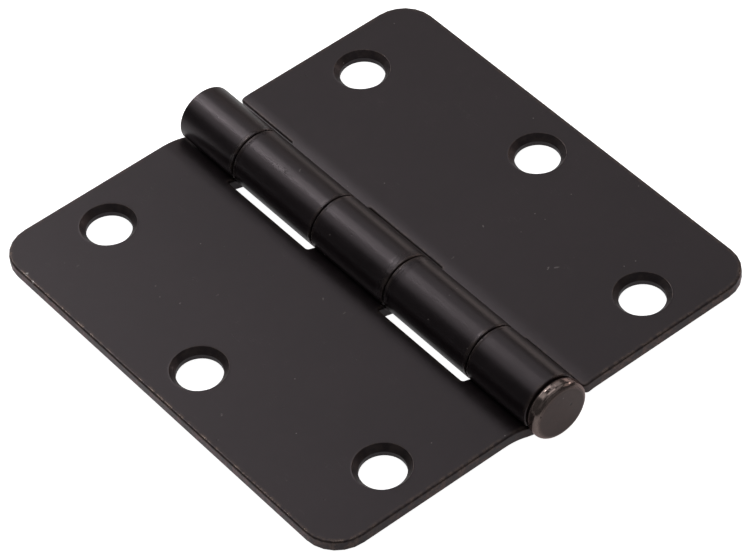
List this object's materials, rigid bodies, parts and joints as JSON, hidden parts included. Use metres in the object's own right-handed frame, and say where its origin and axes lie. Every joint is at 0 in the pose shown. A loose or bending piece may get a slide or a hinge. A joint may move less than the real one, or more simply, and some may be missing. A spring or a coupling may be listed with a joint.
{
  "type": "door hinge",
  "caption": "Full-mortise butt hinge lying open: two round-cornered countersunk leaves, swaged and curled into knuckles round a loose button-head pin.",
  "frame": {"origin": "on the pin's axis, half-way along the overall length from the plain end of the barrel to the top of the pin's head; at the centre of the open hinge's box", "axes": "+Y along the pin towards its head, +X across the three-knuckle leaf, +Z out of the countersunk faces; the leaves lie flat, open 180 degrees"},
  "size_m": [0.0888, 0.0918, 0.0108],
  "materials": {
    "leaf_finish": "satin dark bronze over pressed steel",
    "pin_finish": "dark bronze over turned steel, glossier on the head's rim"
  },
  "bodies": {
    "three_knuckle_leaf": {"three_knuckle_leaf": "leaf_finish"},
    "two_knuckle_leaf": {"two_knuckle_leaf": "leaf_finish"},
    "hinge_pin": {"hinge_pin": "pin_finish"}
  },
  "joints": [
    {"name": "leaf_swing", "type": "hinge", "parent": "three_knuckle_leaf", "child": "two_knuckle_leaf", "pos_m": [0, 0, 0], "axis": [0, 1, 0], "range_deg": [-110, 180]},
    {"name": "pin_slide", "type": "slide", "parent": "three_knuckle_leaf", "child": "hinge_pin", "axis": [0, 1, 0], "range_m": [0, 0.092]}
  ]
}
